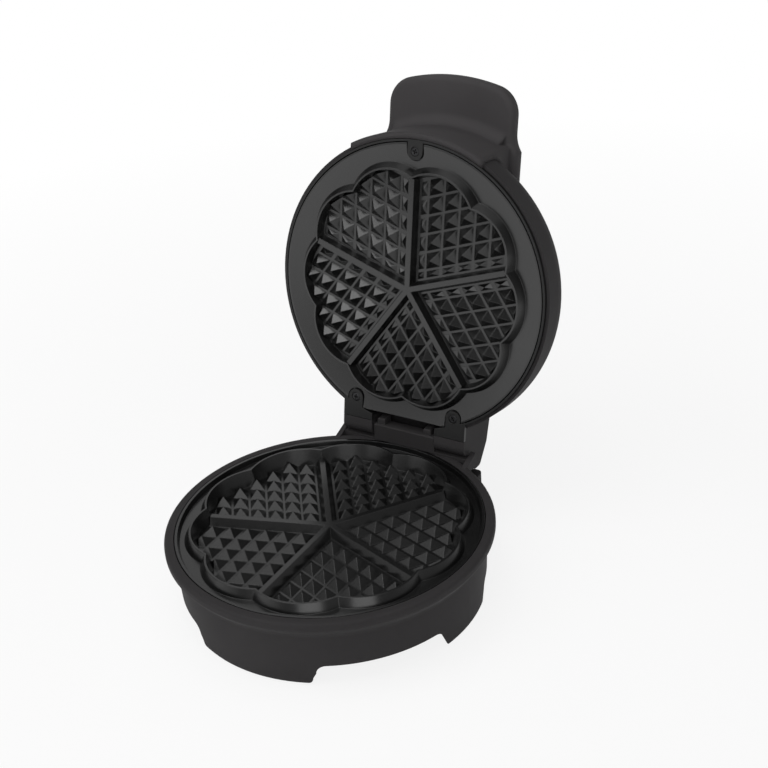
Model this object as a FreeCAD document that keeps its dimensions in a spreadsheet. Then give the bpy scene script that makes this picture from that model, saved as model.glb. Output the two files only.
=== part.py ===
import FreeCAD, Part
import math
import os
from types import SimpleNamespace

import Sketcher
from FreeCAD import Placement, Rotation, Vector

# Sizes of the waffle maker in millimetres and degrees.
# Heights of the base are measured from the underside of its feet, heights of the lid from the edge
# of its baking plate; rubber pads lift the feet a little off the table.
SIZES = {
    # where the base stands and how the lid sits on it
    "plate_level": 55.0,
    "nest": 3.3,
    "open_angle": 101.7,
    "hinge_inset": 3.85,
    "hinge_z": 7.38,
    # base housing
    "rim_radius": 109.0,
    "rim_drop": 2.6,
    "rim_thickness": 5.6,
    "rim_round": 2.4,
    "lip_height": 7.0,
    "neck_inset": 5.7,
    "neck_round": 6.0,
    "foot_inset": 7.4,
    "foot_round": 2.0,
    "housing_wall": 2.6,
    "rim_width": 6.4,
    "foot_web": 2.5,
    "foot_web_width": 14.0,
    "ledge_width": 11.0,
    "ledge_thickness": 3.0,
    "plate_gap": 0.6,
    # arches between the four feet
    "arch_angle": 40.0,
    "arch_height": 15.0,
    "arch_half": 44.0,
    "arch_taper": 2.0,
    "arch_round": 6.0,
    "foot_corner": 5.0,
    # hinge pedestal, its fingers and the cheeks beside it
    "pedestal_half": 24.2,
    "pedestal_front": 5.4,
    "pedestal_back": 3.4,
    "pedestal_top": 3.6,
    "pedestal_round": 1.0,
    "finger_inner": 15.3,
    "finger_width": 6.0,
    "finger_height": 8.1,
    "finger_depth": 8.0,
    "cheek_gap": 1.0,
    "cheek_width": 3.6,
    "cheek_ahead": 13.1,
    "cheek_behind": 1.8,
    "bank_drop": 0.5,
    "bank_behind": 0.4,
    "cheek_rise": 5.0,
    # box at the back of the base, which stops the open lid
    "box_half": 54.0,
    "box_depth": 6.0,
    "box_top": 38.0,
    "box_bottom": 7.0,
    "box_wall": 2.5,
    "box_round": 4.0,
    "gland_height": 20.0,
    "gland_radius": 6.0,
    "gland_collar": 8.5,
    "gland_bore": 3.6,
    # hinge pin
    "pin_radius": 2.5,
    "pin_half": 44.0,
    "pin_fit": 0.05,
    # bottom cover and the pads under the feet
    "cover_level": 16.5,
    "cover_thickness": 2.0,
    "cover_gap": 0.5,
    "cover_post_radius": 4.0,
    "cover_post_inset": 6.0,
    "slot_inset": 37.0,
    "slot_length": 26.0,
    "slot_width": 3.0,
    "pad_inset": 7.1,
    "pad_radius": 4.5,
    "pad_height": 2.2,
    "pad_recess": 1.4,
    # fasteners
    "screw_radius": 1.6,
    "screw_head": 3.1,
    "screw_head_height": 2.0,
    "screw_fit": 0.1,
    # lower baking plate
    "lower_lip_drop": 2.6,
    "lower_lip_width": 1.8,
    "lower_channel": 6.0,
    "lower_flange": 2.5,
    "flower_inset": 11.0,
    "lobe_depth": 6.5,
    "lower_floor": 11.0,
    "lower_draft": 4.0,
    "lower_bottom": 3.5,
    "bead_top": 1.4,
    "bead_foot": 5.0,
    "lower_ridge_drop": 5.4,
    # upper baking plate
    "upper_inset": 8.0,
    "upper_floor": 6.5,
    "upper_draft": 2.0,
    "upper_crest": 1.3,
    "upper_foot": 4.0,
    "upper_rim_drop": 3.6,
    "upper_back": 9.0,
    "upper_ridge_drop": 0.7,
    # pattern of both plates
    "ridge_half_top": 1.9,
    "upper_ridge_foot": 3.7,
    "lower_ridge_foot": 5.0,
    "line_width": 1.6,
    "half_row": 5.8,
    "row_pitch": 11.7,
    "pyramid_slope": 1.02,
    # heating elements, reflectors and controls
    "heater_inset": 33.0,
    "heater_radius": 3.2,
    "heater_sunk": 1.6,
    "heater_angle": 300.0,
    "terminal_radius": 1.5,
    "terminal_length": 9.0,
    "stud_radius": 5.0,
    "stud_height": 10.0,
    "reflector_inset": 18.0,
    "reflector_sheet": 0.8,
    "reflector_edge": 5.0,
    "thermostat_radius": 8.0,
    "thermostat_height": 7.0,
    "thermostat_x": 28.0,
    "fuse_radius": 2.0,
    "fuse_length": 22.0,
    "fuse_x": -30.0,
    "block_length": 32.0,
    "block_width": 14.0,
    "block_height": 9.0,
    "block_y": 55.0,
    # lid shell
    "shell_inset": 6.5,
    "shell_edge": 6.0,
    "shell_wall": 2.2,
    "shoulder_z": 19.3,
    "shoulder_radius": 24.0,
    "crown": 57.7,
    "hump_half": 48.3,
    "ear_radius": 7.0,
    "ear_inner": 25.0,
    "hump_low_reach": 21.8,
    "hump_low_z": 22.2,
    "hump_back_reach": 20.3,
    "hump_back_z": 31.5,
    "hump_mid_reach": 4.8,
    "hump_mid_z": 39.5,
    "hump_top_z": 43.5,
    "hump_root_reach": 21.2,
    "hump_throat_z": 19.0,
    "hump_round": 3.5,
    "slot_radius": 13.5,
    "boss_radius": 4.5,
    # ring round the upper plate
    "ring_width": 1.5,
    "ring_fit": 0.1,
    "ring_gap": 0.7,
    "ring_depth": 8.0,
    "apron_thickness": 2.3,
    "apron_gap": 0.3,
    "apron_reach": 5.1,
    "recess_reach": 12.3,
    "lug_half": 5.6,
    "lug_sink": 1.3,
    "lug_front_inset": 5.5,
    "lug_back_inset": 4.4,
    "lug_back_angle": 24.5,
    # handle
    "handle_overhang": 34.3,
    "handle_half": 47.6,
    "handle_corner": 19.0,
    "handle_low": 49.0,
    "handle_top": 59.5,
    "handle_inner": 30.0,
    "handle_inner_corner": 16.0,
    "handle_round": 3.5,
    "handle_crease": 9.0,
    "handle_crease_sink": 0.3,
    "handle_crease_span": 46.0,
    "handle_flare": 4.0,
    "handle_flare_length": 12.0,
    "collar_half": 49.2,
    "collar_taper": 1.0,
    "collar_thickness": 2.0,
    "collar_gap": 0.2,
    "collar_lip_gap": 0.4,
    "handle_screw_x": 30.0,
    "handle_screw_y": 52.0,
    "handle_screw_depth": 6.0,
    "handle_boss_drop": 6.5,
    # indicator lamps
    "lamp_x": 11.0,
    "lamp_y": 60.0,
    "lamp_radius": 3.4,
    "lamp_proud": 0.9,
    "lamp_fit": 0.1,
    "holder_level": 40.0,
    "holder_length": 44.0,
    "holder_width": 14.0,
    "holder_height": 3.0,
    "holder_post_x": 18.0,
    "holder_post_radius": 2.6,
}

LOBES = 10
HEARTS = 5
FIRST_VALLEY = 54.0
FRONT = 270.0
BACK = 90.0


class Size:
    """A length or angle together with the expression that gives it."""

    def __init__(self, text, value):
        self.text = text
        self.value = value

    def join(self, sign, other, value):
        return Size("(%s %s %s)" % (self.text, sign, size(other).text), value)

    def __add__(self, other):
        return self.join("+", other, self.value + size(other).value)

    def __sub__(self, other):
        return self.join("-", other, self.value - size(other).value)

    def __mul__(self, other):
        return self.join("*", other, self.value * size(other).value)

    def __truediv__(self, other):
        return self.join("/", other, self.value / size(other).value)

    def __neg__(self):
        return Size("(0 - %s)" % self.text, -self.value)


def size(item):
    """Turn a plain number into a Size."""
    if isinstance(item, Size):
        return item
    return Size(repr(float(item)), float(item))


def cosine(angle):
    angle = size(angle)
    return Size("cos(%s * 1 deg)" % angle.text, math.cos(math.radians(angle.value)))


def sine(angle):
    angle = size(angle)
    return Size("sin(%s * 1 deg)" % angle.text, math.sin(math.radians(angle.value)))


def make_sheet(doc):
    """Write the sizes into the sheet and return them by name."""
    sheet = doc.addObject("Spreadsheet::Sheet", "dims")
    for row, (name, value) in enumerate(SIZES.items(), start=1):
        sheet.set("A%d" % row, name)
        sheet.set("B%d" % row, str(value))
        sheet.setAlias("B%d" % row, name)
    doc.recompute()
    named = {name: Size("dims." + name, float(value)) for name, value in SIZES.items()}
    return SimpleNamespace(**named)


doc = FreeCAD.newDocument("waffle_maker")
d = make_sheet(doc)


def derive():
    """Sizes that follow from the rim of the base, so that the pieces keep together."""
    d.neck_radius = d.rim_radius - d.neck_inset
    d.foot_radius = d.rim_radius - d.foot_inset
    d.housing_inner = d.foot_radius - d.housing_wall
    d.lower_radius = d.rim_radius - d.rim_width - d.plate_gap
    d.lower_tip = d.lower_radius - d.flower_inset
    d.lower_valley = d.lower_tip - d.lobe_depth
    d.upper_tip = d.lower_tip - d.upper_inset
    d.upper_valley = d.upper_tip - d.lobe_depth
    d.shell_radius = d.rim_radius - d.shell_inset
    d.upper_radius = d.shell_radius - d.shell_wall - d.ring_fit - d.ring_width - d.ring_gap
    d.lug_front_circle = d.upper_radius - d.lug_front_inset
    d.lug_back_circle = d.upper_radius - d.lug_back_inset
    d.hinge_y = d.rim_radius - d.hinge_inset
    d.box_back = d.rim_radius + d.box_depth
    d.cheek_front = d.hinge_y - d.cheek_ahead
    d.cheek_back = d.hinge_y + d.cheek_behind
    d.hump_low_y = d.hinge_y + d.hump_low_reach
    d.hump_back_y = d.hinge_y + d.hump_back_reach
    d.hump_mid_y = d.hinge_y + d.hump_mid_reach
    d.hump_root = d.hinge_y - d.hump_root_reach
    d.apron_back = d.hinge_y - d.apron_reach
    d.recess_y = d.hinge_y - d.recess_reach
    d.handle_reach = d.shell_radius + d.handle_overhang
    d.cover_post_circle = d.housing_inner - d.cover_post_inset
    d.slot_circle = d.housing_inner - d.slot_inset
    d.pad_circle = d.foot_radius - d.pad_inset
    d.heater_circle = d.lower_tip - d.heater_inset
    d.reflector_radius = d.lower_radius - d.reflector_inset
    reach = (d.handle_reach + d.hinge_y) * cosine(d.open_angle)
    rise = (d.handle_top - d.nest - d.hinge_z) * sine(d.open_angle)
    d.base_y = (d.rim_radius - d.hinge_y + reach - rise) / 2


derive()
LIFT = d.pad_height - d.pad_recess
nodes = []


def bind(thing, name, value):
    """Tie a property to the sheet."""
    thing.setExpression(name, size(value).text)


def place(thing, frame, x=0, y=0, z=0):
    """Put a piece into the base or into the opened lid."""
    x, y, z = size(x), size(y), size(z)
    if frame == "base":
        spot = (x, d.base_y + y, LIFT + z)
        thing.Placement = Placement(Vector(*[s.value for s in spot]), Rotation())
    else:
        arm = y - d.hinge_y
        rise = z - d.nest - d.hinge_z
        turn_cos, turn_sin = cosine(d.open_angle), sine(d.open_angle)
        spot = (
            x,
            d.base_y + d.hinge_y + arm * turn_cos + rise * turn_sin,
            LIFT + d.plate_level + d.hinge_z + rise * turn_cos - arm * turn_sin,
        )
        turn = Rotation(Vector(-1, 0, 0), d.open_angle.value)
        thing.Placement = Placement(Vector(*[s.value for s in spot]), turn)
        thing.setExpression("Placement.Rotation.Angle", d.open_angle.text + " * 1 deg")
    for axis, value in zip("xyz", spot):
        bind(thing, "Placement.Base." + axis, value)


def register(thing, label, frame):
    """Name a finished piece and put it in its frame."""
    thing.Label = label
    place(thing, frame)
    nodes.append(thing)


def new_body(label, frame):
    body = doc.addObject("PartDesign::Body", label)
    register(body, label, frame)
    return body


def origin_of(body, role):
    """Plane or axis of the body's own origin."""
    return [f for f in body.Origin.OriginFeatures if f.Role == role][0]


def new_sketch(body, name, role, level=None, turn=None):
    """Start a sketch on one of the body's planes, raised or turned about the upright."""
    made = body.newObject("Sketcher::SketchObject", name)
    made.AttachmentSupport = [(origin_of(body, role), "")]
    made.MapMode = "FlatFace"
    if level is not None:
        made.AttachmentOffset = Placement(Vector(0, 0, size(level).value), Rotation())
        bind(made, "AttachmentOffset.Base.z", level)
    if turn is not None:
        made.AttachmentOffset = Placement(Vector(), Rotation(Vector(0, 1, 0), size(turn).value))
        made.setExpression("AttachmentOffset.Rotation.Angle", size(turn).text + " * 1 deg")
    return made


def pin_point(made, geo, pos, x, y):
    """Hold a sketch point at sizes from the sheet."""
    for kind, axis, value in (("DistanceX", -2, size(x)), ("DistanceY", -1, size(y))):
        if value.text == "0.0":
            made.addConstraint(Sketcher.Constraint("PointOnObject", geo, pos, axis))
        else:
            index = made.addConstraint(Sketcher.Constraint(kind, -1, 1, geo, pos, value.value))
            bind(made, "Constraints[%d]" % index, value)


def add_arc(made, start, end, bend):
    """Add a short arc; a positive bend runs counter-clockwise."""
    radius = abs(bend.value)
    chord = end - start
    left = Vector(-chord.y, chord.x, 0).normalize()
    reach = math.sqrt(radius ** 2 - (chord.Length / 2) ** 2)
    centre = (start + end) * 0.5 + left * math.copysign(reach, bend.value)
    first, last = (start, end) if bend.value > 0 else (end, start)
    a0 = math.atan2(first.y - centre.y, first.x - centre.x)
    a1 = math.atan2(last.y - centre.y, last.x - centre.x)
    if a1 < a0:
        a1 += 2 * math.pi
    arc = Part.ArcOfCircle(Part.Circle(centre, Vector(0, 0, 1), radius), a0, a1)
    geo = made.addGeometry(arc)
    index = made.addConstraint(Sketcher.Constraint("Radius", geo, radius))
    bind(made, "Constraints[%d]" % index, bend if bend.value > 0 else -bend)
    return (geo, 1, 2) if bend.value > 0 else (geo, 2, 1)


def outline(made, corners):
    """Closed line through the corners; a third entry bends the side that leaves a corner."""
    points = [Vector(size(c[0]).value, size(c[1]).value, 0) for c in corners]
    sides = []
    for i, corner in enumerate(corners):
        start, end = points[i], points[(i + 1) % len(points)]
        if len(corner) > 2:
            sides.append(add_arc(made, start, end, size(corner[2])))
        else:
            sides.append((made.addGeometry(Part.LineSegment(start, end)), 1, 2))
    for i, (geo, start, end) in enumerate(sides):
        following = sides[(i + 1) % len(sides)]
        made.addConstraint(Sketcher.Constraint("Coincident", geo, end, following[0], following[1]))
    for (geo, start, end), corner in zip(sides, corners):
        pin_point(made, geo, start, corner[0], corner[1])


def rounds(made, circles):
    """Circles at given centres."""
    for x, y, radius in circles:
        x, y, radius = size(x), size(y), size(radius)
        geo = made.addGeometry(Part.Circle(Vector(x.value, y.value, 0), Vector(0, 0, 1), radius.value))
        index = made.addConstraint(Sketcher.Constraint("Radius", geo, radius.value))
        bind(made, "Constraints[%d]" % index, radius)
        pin_point(made, geo, 3, x, y)


def rectangle(x0, y0, x1, y1):
    return [(x0, y0), (x1, y0), (x1, y1), (x0, y1)]


def feature(body, kind, name, made):
    """Add a feature that adds to or cuts from the body, and check that it does something."""
    doc.recompute()
    before = body.Shape.Volume if body.Tip else 0.0
    step = body.newObject("PartDesign::" + kind, name)
    step.Profile = made
    return step, before


def finish(body, step, before):
    doc.recompute()
    if "Invalid" in step.State or abs(body.Shape.Volume - before) < 1e-3:
        raise RuntimeError("%s changes nothing in %s" % (step.Name, body.Label))
    return step


def spin(body, name, made, cut=False, span=None):
    """Turn a profile about the upright axis, all the way or over a span to both sides."""
    step, before = feature(body, "Groove" if cut else "Revolution", name, made)
    step.ReferenceAxis = (made, ["V_Axis"])
    step.Angle = 360
    if span is not None:
        step.Midplane = True
        bind(step, "Angle", span)
    return finish(body, step, before)


def extrude(body, name, made, length, cut=False, flip=False, both=False):
    """Pad or pocket a sketch by a length, on one side or on both."""
    step, before = feature(body, "Pocket" if cut else "Pad", name, made)
    if both:
        step.SideType = "Symmetric"
    step.Reversed = flip
    bind(step, "Length", length)
    return finish(body, step, before)


def fillet(body, name, radius, wanted):
    """Round the edges of the body that fit the test."""
    doc.recompute()
    base = body.Tip
    names = ["Edge%d" % i for i, edge in enumerate(base.Shape.Edges, start=1) if wanted(edge)]
    step = body.newObject("PartDesign::Fillet", name)
    step.Base = (base, names)
    bind(step, "Radius", radius)
    return finish(body, step, base.Shape.Volume)


def is_ring(edge, radius, level):
    """True for a circle about the upright axis at a radius and level."""
    radius, level = size(radius).value, size(level).value
    if not isinstance(edge.Curve, Part.Circle):
        return False
    return abs(edge.Curve.Radius - radius) < 0.01 and abs(edge.Curve.Center.z - level) < 0.01


def is_level(edge, level):
    """True for an edge whose ends lie at a level."""
    return all(abs(v.Z - size(level).value) < 0.01 for v in edge.Vertexes)


def runs_across(edge, y, z):
    """True for an edge from left to right at a place in the side view."""
    ends = edge.Vertexes
    if len(ends) != 2 or abs(ends[0].X - ends[1].X) < 1:
        return False
    return all(abs(v.Y - size(y).value) < 0.01 and abs(v.Z - size(z).value) < 0.01 for v in ends)


def polar(circle, angle):
    """Plan position on a circle, counted from the right-hand side."""
    return size(circle) * cosine(angle), size(circle) * sine(angle)


# Positions shared by several pieces
RIM_TOP = d.plate_level - d.rim_drop
RIM_LOW = RIM_TOP - d.rim_thickness
NECK = RIM_LOW - d.lip_height
SEAT = d.plate_level - d.lower_channel - d.lower_flange
LEDGE_LOW = SEAT - d.ledge_thickness
SEAT_RADIUS = d.lower_radius + d.plate_gap
LEDGE_INNER = SEAT_RADIUS - d.ledge_width
PLATE_UNDER = d.plate_level - d.lower_floor - d.lower_bottom
HINGE_UP = d.plate_level + d.hinge_z
COVER_TOP = d.cover_level + d.cover_thickness
RING_INNER = d.upper_radius + d.ring_gap
RING_OUTER = RING_INNER + d.ring_width
SHELL_INNER = d.shell_radius - d.shell_wall
HINGE_LID = d.hinge_z + d.nest
LUGS = [
    (polar(d.lug_front_circle, FRONT), FRONT),
    (polar(d.lug_back_circle, size(BACK) - d.lug_back_angle), BACK),
    (polar(d.lug_back_circle, size(BACK) + d.lug_back_angle), BACK),
]
PLATE_SCREWS = [polar((LEDGE_INNER + d.housing_inner) / 2, angle) for angle in (30.0, 150.0, 270.0)]
COVER_POSTS = [polar(d.cover_post_circle, angle) for angle in (60.0, 120.0, 240.0, 300.0)]
HEATER_TURN = (size(360) - d.heater_angle) / 2 + d.heater_radius / d.heater_circle * math.degrees(1)
HEATER_ENDS = [polar(d.heater_circle, size(FRONT) + HEATER_TURN * side) for side in (-1, 1)]
FOOT_PADS = [polar(d.pad_circle, angle) for angle in (0.0, 90.0, 180.0, 270.0)]


def base_housing():
    """Moulded base with an overhanging rim, four skirt feet and the hinge at the back."""
    body = new_body("base_housing", "base")
    made = new_sketch(body, "base_profile", "XZ_Plane")
    outline(made, [
        (0, 0),
        (d.foot_radius, 0),
        (d.neck_radius, NECK),
        (d.rim_radius, RIM_LOW),
        (d.rim_radius, RIM_TOP),
        (0, RIM_TOP),
    ])
    spin(body, "base_turned", made)
    fillet(body, "rim_rounding", d.rim_round,
           lambda e: is_ring(e, d.rim_radius, RIM_TOP) or is_ring(e, d.rim_radius, RIM_LOW))
    fillet(body, "neck_rounding", d.neck_round, lambda e: is_ring(e, d.neck_radius, NECK))
    fillet(body, "foot_rounding", d.foot_round, lambda e: is_ring(e, d.foot_radius, 0))
    hinge_box(body)
    hinge_pedestal(body)
    made = new_sketch(body, "base_hollow", "XZ_Plane")
    outline(made, [
        (0, -d.foot_web),
        (d.housing_inner - d.foot_web_width, -d.foot_web),
        (d.housing_inner - d.foot_web_width, d.foot_web),
        (d.housing_inner, d.foot_web),
        (d.housing_inner, LEDGE_LOW),
        (LEDGE_INNER, LEDGE_LOW),
        (LEDGE_INNER, SEAT),
        (SEAT_RADIUS, SEAT),
        (SEAT_RADIUS, RIM_TOP + d.plate_gap),
        (0, RIM_TOP + d.plate_gap),
    ])
    spin(body, "base_hollowed", made, cut=True)
    foot_arches(body)
    base_holes(body)


def hinge_box(body):
    """Box behind the wall that takes the cord inlet and stops the open lid."""
    made = new_sketch(body, "box_plan", "XY_Plane", level=d.box_bottom)
    outline(made, rectangle(-d.box_half, d.housing_inner / 2, d.box_half, d.box_back))
    extrude(body, "box_block", made, d.box_top - d.box_bottom)
    back, half = d.box_back.value, d.box_half.value
    fillet(body, "box_rounding", d.box_round,
           lambda e: abs(e.CenterOfMass.y - back) < 0.01 and abs(abs(e.CenterOfMass.x) - half) < 0.01)
    made = new_sketch(body, "box_inside", "XY_Plane", level=d.box_bottom)
    side = d.box_half - d.box_wall
    near = root_of(d.neck_radius * d.neck_radius - side * side)
    outline(made, [
        (side, near, d.neck_radius),
        (-side, near),
        (-side, d.box_back - d.box_wall),
        (side, d.box_back - d.box_wall),
    ])
    extrude(body, "box_hollow", made, d.box_top - d.box_bottom - d.box_wall, cut=True, flip=True)


def hinge_pedestal(body):
    """Pedestal between the lid's ears, with two fingers, a low bank and a sloping cheek on each side."""
    front = d.hinge_y - d.pedestal_front
    root = RIM_LOW
    made = new_sketch(body, "pedestal_plan", "XY_Plane", level=root)
    outline(made, rectangle(-d.pedestal_half, front, d.pedestal_half, d.hinge_y + d.pedestal_back))
    extrude(body, "pedestal", made, HINGE_UP + d.pedestal_top - root)
    fillet(body, "pedestal_rounding", d.pedestal_round, lambda e: is_level(e, HINGE_UP + d.pedestal_top))
    made = new_sketch(body, "finger_plan", "XY_Plane", level=root)
    near = d.hinge_y - d.finger_depth / 2
    for side in (-1, 1):
        inner = d.finger_inner * side
        outer = (d.finger_inner + d.finger_width) * side
        outline(made, rectangle(inner, near, outer, near + d.finger_depth))
    extrude(body, "fingers", made, HINGE_UP + d.finger_height - root)
    fillet(body, "finger_rounding", d.pedestal_round, lambda e: is_level(e, HINGE_UP + d.finger_height))
    made = new_sketch(body, "bank_plan", "XY_Plane", level=root)
    side = d.hump_half + d.cheek_gap + d.cheek_width / 2
    outline(made, rectangle(-side, front, side, d.hinge_y + d.bank_behind))
    extrude(body, "hinge_bank", made, d.plate_level - d.bank_drop - root)
    made = new_sketch(body, "cheek_side", "YZ_Plane", level=d.hump_half + d.cheek_gap)
    outline(made, [
        (d.cheek_front, RIM_LOW),
        (d.cheek_back, RIM_LOW),
        (d.cheek_back, RIM_TOP + d.cheek_rise),
        (d.cheek_front, RIM_TOP),
    ])
    cheek = extrude(body, "cheek", made, d.cheek_width)
    mirror(body, "cheek_pair", [cheek])


def mirror(body, name, originals):
    """Repeat features on the other side of the middle plane."""
    doc.recompute()
    before = body.Shape.Volume
    step = body.newObject("PartDesign::Mirrored", name)
    step.Originals = originals
    step.MirrorPlane = (origin_of(body, "YZ_Plane"), [""])
    body.Tip = step
    return finish(body, step, before)


def foot_arches(body):
    """Openings between the feet, the same left and right."""
    foot = d.arch_half + d.foot_corner
    top = d.arch_half - d.arch_taper
    bend = d.arch_height - d.arch_round
    cuts = []
    for name, turn in (("front", size(90) - d.arch_angle), ("rear", size(90) + d.arch_angle)):
        made = new_sketch(body, name + "_arch_shape", "XZ_Plane", turn=turn)
        outline(made, [
            (-foot, -d.foot_web),
            (foot, -d.foot_web),
            (foot, 0, -d.foot_corner),
            (d.arch_half, d.foot_corner),
            (top, bend, d.arch_round),
            (top - d.arch_round, d.arch_height),
            (d.arch_round - top, d.arch_height, d.arch_round),
            (-top, bend),
            (-d.arch_half, d.foot_corner, -d.foot_corner),
            (-foot, 0),
        ])
        cuts.append(extrude(body, name + "_arch", made, d.rim_radius, cut=True, flip=True))
    mirror(body, "arch_pair", cuts)


def base_holes(body):
    """Posts for the cover and the holes for pin, screws, pads and cord inlet."""
    made = new_sketch(body, "post_plan", "XY_Plane", level=COVER_TOP)
    rounds(made, [(x, y, d.cover_post_radius) for x, y in COVER_POSTS])
    extrude(body, "cover_posts", made, LEDGE_LOW - COVER_TOP)
    hole = d.screw_radius + d.screw_fit
    made = new_sketch(body, "post_holes_plan", "XY_Plane", level=COVER_TOP)
    rounds(made, [(x, y, hole) for x, y in COVER_POSTS])
    extrude(body, "post_holes", made, d.screw_radius * 6, cut=True, flip=True)
    made = new_sketch(body, "ledge_holes_plan", "XY_Plane", level=LEDGE_LOW)
    rounds(made, [(x, y, hole) for x, y in PLATE_SCREWS])
    extrude(body, "ledge_holes", made, d.ledge_thickness, cut=True, flip=True)
    made = new_sketch(body, "pad_recess_plan", "XY_Plane")
    rounds(made, [(x, y, d.pad_radius) for x, y in FOOT_PADS])
    extrude(body, "pad_recesses", made, d.pad_recess, cut=True, flip=True)
    made = new_sketch(body, "pin_hole_side", "YZ_Plane")
    rounds(made, [(d.hinge_y, HINGE_UP, d.pin_radius)])
    extrude(body, "pin_hole", made, d.pedestal_half * 2, cut=True, both=True)
    made = new_sketch(body, "gland_hole_plan", "XZ_Plane", level=-d.box_back)
    rounds(made, [(0, d.gland_height, d.gland_radius)])
    extrude(body, "gland_hole", made, d.box_back - d.housing_inner + d.box_wall, cut=True, flip=True)


def turned(label, frame, corners):
    """A piece turned about the upright axis of its frame."""
    body = new_body(label, frame)
    made = new_sketch(body, label + "_profile", "XZ_Plane")
    outline(made, corners)
    spin(body, label + "_turned", made)
    return body


def bottom_cover():
    """Round cover under the base with a ring of air slots."""
    edge = d.housing_inner - d.cover_gap
    body = turned("bottom_cover", "base", rectangle(0, d.cover_level, edge, COVER_TOP))
    made = new_sketch(body, "cover_slot_plan", "XY_Plane", level=d.cover_level)
    outline(made, rectangle(d.slot_circle - d.slot_length / 2, -d.slot_width / 2,
                            d.slot_circle + d.slot_length / 2, d.slot_width / 2))
    slot = extrude(body, "cover_slot", made, d.cover_thickness, cut=True, flip=True)
    before = body.Shape.Volume
    ring = body.newObject("PartDesign::PolarPattern", "cover_slots")
    ring.Originals = [slot]
    ring.Axis = (origin_of(body, "Z_Axis"), [""])
    ring.Angle = 360
    ring.Occurrences = 12
    body.Tip = ring
    finish(body, ring, before)
    made = new_sketch(body, "cover_hole_plan", "XY_Plane", level=d.cover_level)
    rounds(made, [(x, y, d.screw_radius + d.screw_fit) for x, y in COVER_POSTS])
    extrude(body, "cover_holes", made, d.cover_thickness, cut=True, flip=True)


def cylinder(name, radius, height, x=0, y=0, z=0):
    """Upright cylinder standing on a level."""
    made = doc.addObject("Part::Cylinder", name)
    bind(made, "Radius", radius)
    bind(made, "Height", height)
    for axis, value in zip("xyz", (x, y, z)):
        bind(made, "Placement.Base." + axis, value)
    return made


def screws(label, frame, spots, seat, length, down=False, head_height=d.screw_head_height):
    """A set of equal screws whose heads seat at a level; the shanks point up or down."""
    made = []
    for i, (x, y) in enumerate(spots):
        name = "%s_%d" % (label, i)
        head_low = size(seat) if down else size(seat) - head_height
        shank_low = size(seat) - length if down else size(seat)
        head = cylinder(name + "_head", d.screw_head, head_height, x, y, head_low)
        shank = cylinder(name + "_shank", d.screw_radius, length, x, y, shank_low)
        screw = doc.addObject("Part::Fuse", name)
        screw.Base = head
        screw.Tool = shank
        made.append(screw)
    group(label, frame, made)


def group(label, frame, members):
    """Several equal loose pieces kept as one set."""
    made = doc.addObject("Part::Compound", label)
    made.Links = members
    register(made, label, frame)


def foot_pads():
    """Rubber pads let into the four feet."""
    low = d.pad_recess - d.pad_height
    members = [cylinder("foot_pad_%d" % i, d.pad_radius, d.pad_height, x, y, low)
               for i, (x, y) in enumerate(FOOT_PADS)]
    group("foot_pads", "base", members)


def hinge_pin():
    """Steel pin pressed into the pedestal, on which the lid turns."""
    made = doc.addObject("Part::Cylinder", "hinge_pin")
    bind(made, "Radius", d.pin_radius)
    bind(made, "Height", d.pin_half * 2)
    made.Label = "hinge_pin"
    made.Placement = Placement(Vector(), Rotation(Vector(0, 1, 0), 90))
    for axis, value in zip("xyz", (-d.pin_half, d.base_y + d.hinge_y, LIFT + HINGE_UP)):
        bind(made, "Placement.Base." + axis, value)
    nodes.append(made)


def cord_gland():
    """Inlet bush in the back wall of the box."""
    body = new_body("cord_gland", "base")
    wall = d.box_back - d.box_wall
    made = new_sketch(body, "gland_plan", "XZ_Plane", level=-wall)
    rounds(made, [(0, d.gland_height, d.gland_radius)])
    extrude(body, "gland_tube", made, d.box_wall * 2, flip=True)
    made = new_sketch(body, "gland_collar_plan", "XZ_Plane", level=-d.box_back)
    rounds(made, [(0, d.gland_height, d.gland_collar)])
    extrude(body, "gland_collar_disc", made, d.box_wall, flip=True)
    made = new_sketch(body, "gland_bore_plan", "XZ_Plane", level=-wall)
    rounds(made, [(0, d.gland_height, d.gland_bore)])
    extrude(body, "gland_bore_hole", made, d.box_wall * 4, cut=True)


# Baking plates


def at(radius, angle, z):
    """Point on a circle at a level."""
    turn = math.radians(angle)
    return Vector(radius * math.cos(turn), radius * math.sin(turn), z)


def flower(valley, tip, z):
    """Closed outline of ten equal lobes."""
    step = 360.0 / LOBES
    arcs = []
    for k in range(LOBES):
        start = FIRST_VALLEY + k * step
        arc = Part.Arc(at(valley, start, z), at(tip, start + step / 2, z), at(valley, start + step, z))
        arcs.append(arc.toShape())
    return Part.Wire(arcs)


def flower_block(low, high):
    """Solid between two lobed outlines, each given as valley, tip and level."""
    return Part.makeLoft([flower(*low), flower(*high)], True, True)


def turned_solid(profile):
    """Solid of revolution about the upright axis from a list of radius and level."""
    points = [Vector(r, 0, z) for r, z in profile]
    face = Part.Face(Part.makePolygon(points + points[:1]))
    return face.revolve(Vector(), Vector(0, 0, 1), 360)


def tapered_bar(length, half_foot, half_top, foot, top, angle):
    """Ridge with sloping flanks from the middle outwards."""
    section = [Vector(0, y, z) for y, z in
               ((-half_foot, foot), (half_foot, foot), (half_top, top), (-half_top, top))]
    bar = Part.Face(Part.makePolygon(section + section[:1])).extrude(Vector(length, 0, 0))
    bar.rotate(Vector(), Vector(0, 0, 1), angle)
    return bar


def pyramid(corners, apex):
    """Four-sided pyramid on any flat base."""
    faces = [Part.Face(Part.makePolygon(corners + corners[:1]))]
    for first, second in zip(corners, corners[1:] + corners[:1]):
        faces.append(Part.Face(Part.makePolygon([first, second, apex, first])))
    return Part.Solid(Part.Shell(faces))


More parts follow.
